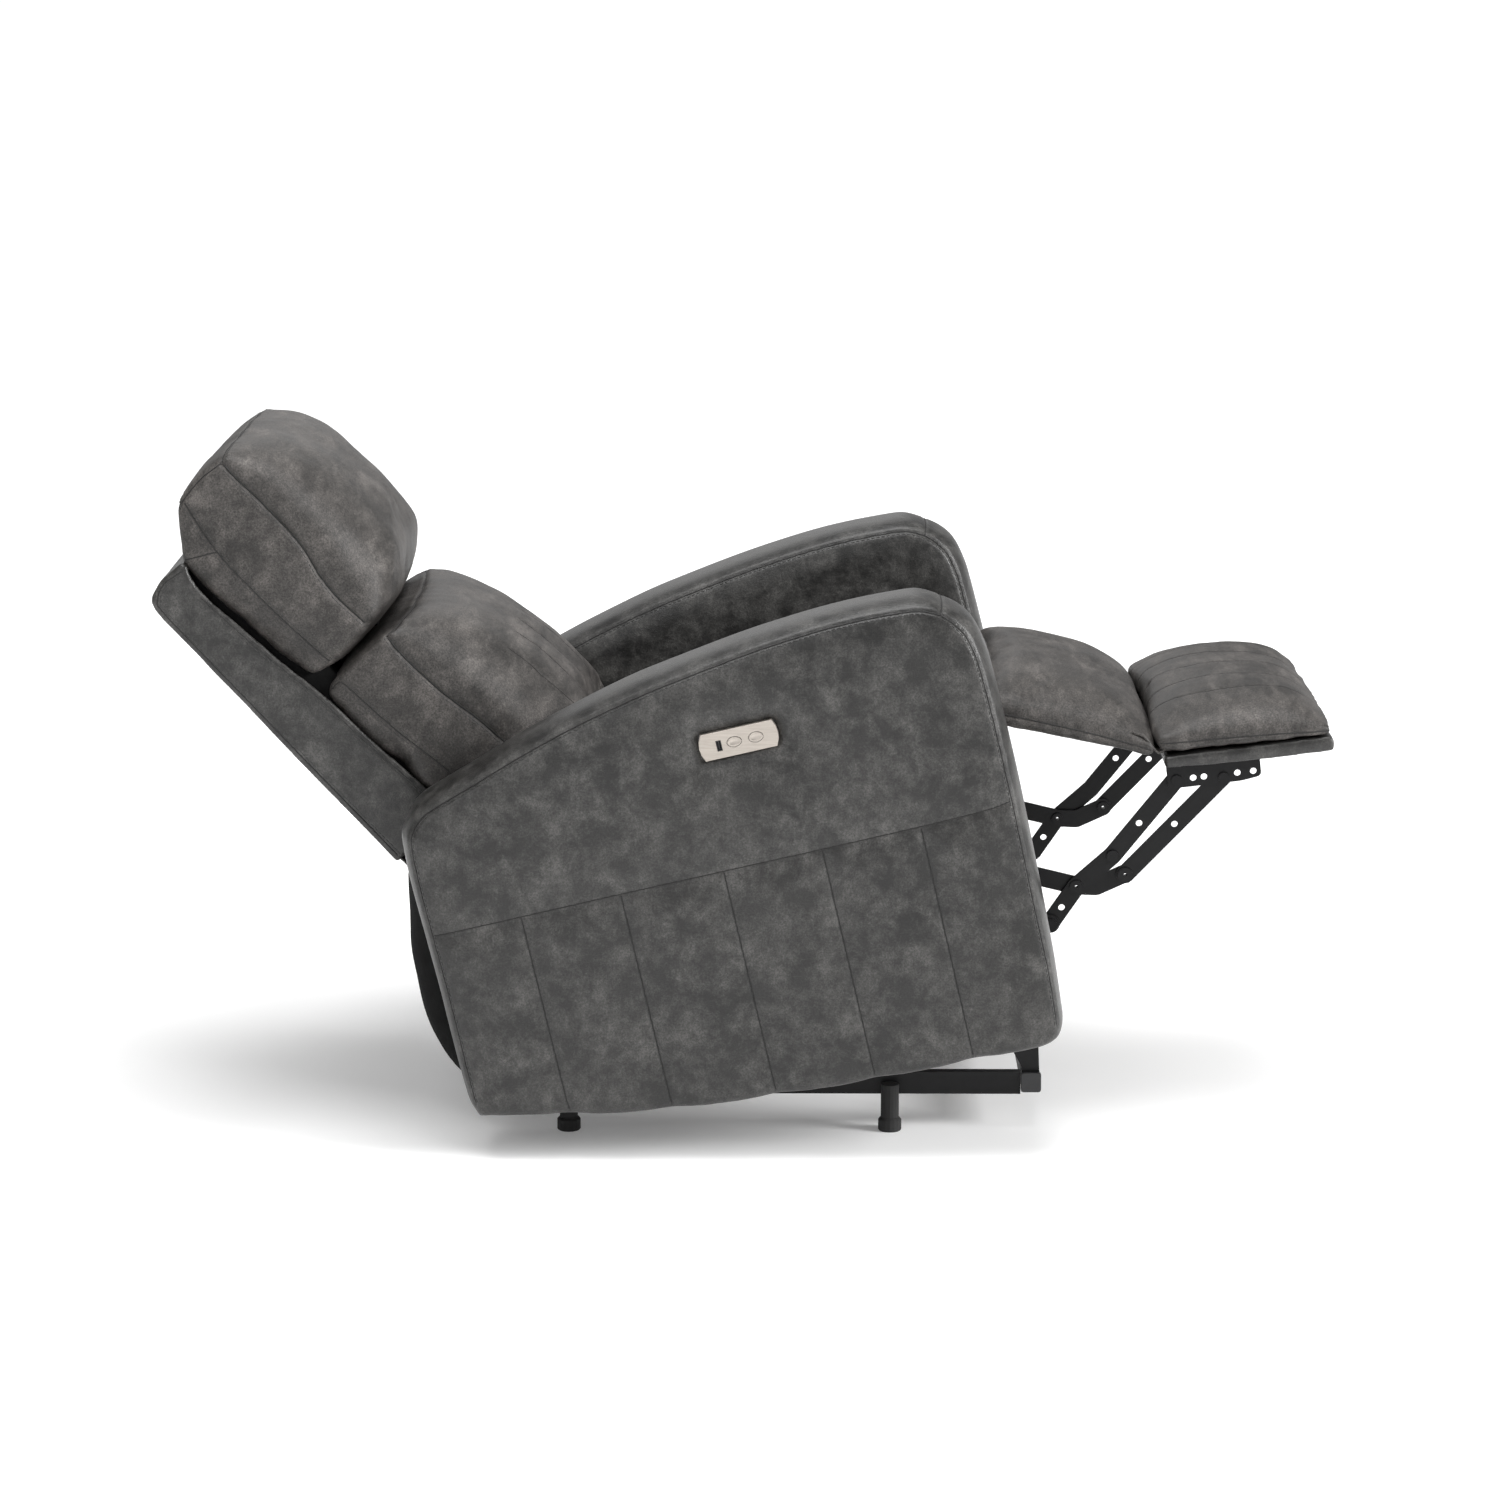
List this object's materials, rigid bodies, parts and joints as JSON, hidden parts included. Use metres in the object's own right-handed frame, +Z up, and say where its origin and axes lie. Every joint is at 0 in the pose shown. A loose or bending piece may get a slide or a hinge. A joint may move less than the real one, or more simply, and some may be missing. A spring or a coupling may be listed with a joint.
{
  "type": "recliner armchair",
  "caption": "Power recliner armchair in distressed grey leather, shown fully reclined, with headrest, channelled arms and a folding footrest on a black steel linkage.",
  "frame": {"origin": "on the floor, under the middle of the reclined chair's bounding box", "axes": "+Z up, the sitter faces -Y, +X is the sitter's left"},
  "size_m": [0.8109, 1.5383, 0.9059],
  "materials": {
    "leather": "distressed semi-matte",
    "black_steel": "satin powder coat",
    "plywood": "raw",
    "rubber": "matte",
    "black_plastic": "fine texture",
    "satin_metal": "satin champagne",
    "spring_steel": "oiled",
    "dust_cloth": "matte woven"
  },
  "bodies": {
    "base": {"base_rail_left": "black_steel", "base_rail_right": "black_steel", "base_front_tube": "black_steel", "base_rear_tube": "black_steel", "tube_cap_left": "black_plastic", "tube_cap_right": "black_plastic", "tilt_pedestal_left": "black_steel", "tilt_pedestal_right": "black_steel", "glide_front_left": "rubber", "glide_front_right": "rubber", "glide_rear_left": "rubber", "glide_rear_right": "rubber", "power_supply": "black_plastic"},
    "seat_unit": {"side_plate_left": "black_steel", "side_plate_right": "black_steel", "seat_front_rail": "plywood", "seat_rear_rail": "plywood", "rear_cross_tube": "black_steel", "seat_springs": "spring_steel", "motor_housing": "black_plastic", "actuator_rail": "spring_steel", "arm_pad_left": "leather", "arm_pad_right": "leather", "arm_board_left": "plywood", "arm_board_right": "plywood", "control_bezel": "satin_metal", "usb_port": "black_plastic", "seat_cushion": "leather", "rear_dust_cover": "dust_cloth"},
    "backrest": {"back_shell": "leather", "back_panel": "plywood", "back_post_left": "plywood", "back_post_right": "plywood", "headrest_hinge": "black_steel", "lumbar_cushion": "leather", "recline_bracket_left": "black_steel", "recline_bracket_right": "black_steel"},
    "headrest": {"headrest_frame": "black_steel", "headrest_cushion": "leather"},
    "calf_rest": {"calf_board": "plywood", "calf_cushion": "leather"},
    "ottoman": {"ottoman_board": "leather", "foot_cushion": "leather", "ottoman_bracket_left": "black_steel", "ottoman_bracket_right": "black_steel"},
    "drive_linkage": {"torque_tube": "black_steel", "drive_link_left": "black_steel", "drive_link_right": "black_steel"},
    "actuator_slide": {"slide_block": "black_plastic"},
    "long_link_left": {"long_link_left": "black_steel"},
    "long_link_right": {"long_link_right": "black_steel"},
    "toe_link_left": {"toe_link_left": "black_steel"},
    "toe_link_right": {"toe_link_right": "black_steel"},
    "rocker_left": {"rocker_left": "black_steel"},
    "rocker_right": {"rocker_right": "black_steel"},
    "recline_button": {"recline_button": "satin_metal"},
    "upright_button": {"upright_button": "satin_metal"}
  },
  "joints": [
    {"name": "body_tilt", "type": "hinge", "parent": "base", "child": "seat_unit", "pos_m": [0, 0.0354, 0.2], "axis": [1, 0, 0], "range_deg": [0, 13]},
    {"name": "back_recline", "type": "hinge", "parent": "seat_unit", "child": "backrest", "pos_m": [0, 0.28201, 0.37911], "axis": [1, 0, 0], "range_deg": [0, 20.1]},
    {"name": "headrest_tilt", "type": "hinge", "parent": "backrest", "child": "headrest", "pos_m": [0, 0.48734, 0.65236], "axis": [1, 0, 0], "range_deg": [0, 20]},
    {"name": "footrest_fold", "type": "hinge", "parent": "seat_unit", "child": "calf_rest", "pos_m": [0, -0.32119, 0.60253], "axis": [1, 0, 0], "range_deg": [0, 50.15]},
    {"name": "ottoman_fold", "type": "hinge", "parent": "calf_rest", "child": "ottoman", "pos_m": [0, -0.54475, 0.50728], "axis": [1, 0, 0], "range_deg": [0, 33.8]},
    {"name": "drive_turn", "type": "hinge", "parent": "seat_unit", "child": "drive_linkage", "pos_m": [0, -0.25636, 0.36722], "axis": [1, 0, 0], "range_deg": [0, 78.5]},
    {"name": "actuator_travel", "type": "slide", "parent": "seat_unit", "child": "actuator_slide", "axis": [0, 0.9744, -0.225], "range_m": [0, 0.0762]},
    {"name": "long_link_turn_left", "type": "hinge", "parent": "drive_linkage", "child": "long_link_left", "pos_m": [0.214, -0.43953, 0.32289], "axis": [1, 0, 0], "range_deg": [-87.7, 0]},
    {"name": "toe_link_turn_left", "type": "hinge", "parent": "drive_linkage", "child": "toe_link_left", "pos_m": [0.214, -0.5035, 0.33919], "axis": [1, 0, 0], "range_deg": [-94.3, 0]},
    {"name": "rocker_turn_left", "type": "hinge", "parent": "seat_unit", "child": "rocker_left", "pos_m": [0.219, -0.23612, 0.29532], "axis": [1, 0, 0], "range_deg": [0, 86.6]},
    {"name": "long_link_turn_right", "type": "hinge", "parent": "drive_linkage", "child": "long_link_right", "pos_m": [-0.214, -0.43953, 0.32289], "axis": [1, 0, 0], "range_deg": [-87.7, 0]},
    {"name": "toe_link_turn_right", "type": "hinge", "parent": "drive_linkage", "child": "toe_link_right", "pos_m": [-0.214, -0.5035, 0.33919], "axis": [1, 0, 0], "range_deg": [-94.3, 0]},
    {"name": "rocker_turn_right", "type": "hinge", "parent": "seat_unit", "child": "rocker_right", "pos_m": [-0.219, -0.23612, 0.29532], "axis": [1, 0, 0], "range_deg": [0, 86.6]},
    {"name": "recline_press", "type": "slide", "parent": "seat_unit", "child": "recline_button", "axis": [1, 0, 0], "range_m": [0, 0.0015], "stiffness_N_per_m": 600},
    {"name": "upright_press", "type": "slide", "parent": "seat_unit", "child": "upright_button", "axis": [1, 0, 0], "range_m": [0, 0.0015], "stiffness_N_per_m": 600}
  ],
  "couplings": [
    {"joint": "back_recline", "follows": "body_tilt", "ratio": 1.5385},
    {"joint": "ottoman_fold", "follows": "footrest_fold", "ratio": 0.67109},
    {"joint": "drive_turn", "follows": "footrest_fold", "ratio": 1.5608},
    {"joint": "actuator_travel", "follows": "footrest_fold", "m_per_rad": 0.086492},
    {"joint": "long_link_turn_left", "follows": "footrest_fold", "ratio": -1.7433},
    {"joint": "toe_link_turn_left", "follows": "footrest_fold", "ratio": -1.8753},
    {"joint": "rocker_turn_left", "follows": "footrest_fold", "ratio": 1.7209},
    {"joint": "long_link_turn_right", "follows": "footrest_fold", "ratio": -1.7433},
    {"joint": "toe_link_turn_right", "follows": "footrest_fold", "ratio": -1.8753},
    {"joint": "rocker_turn_right", "follows": "footrest_fold", "ratio": 1.7209}
  ]
}
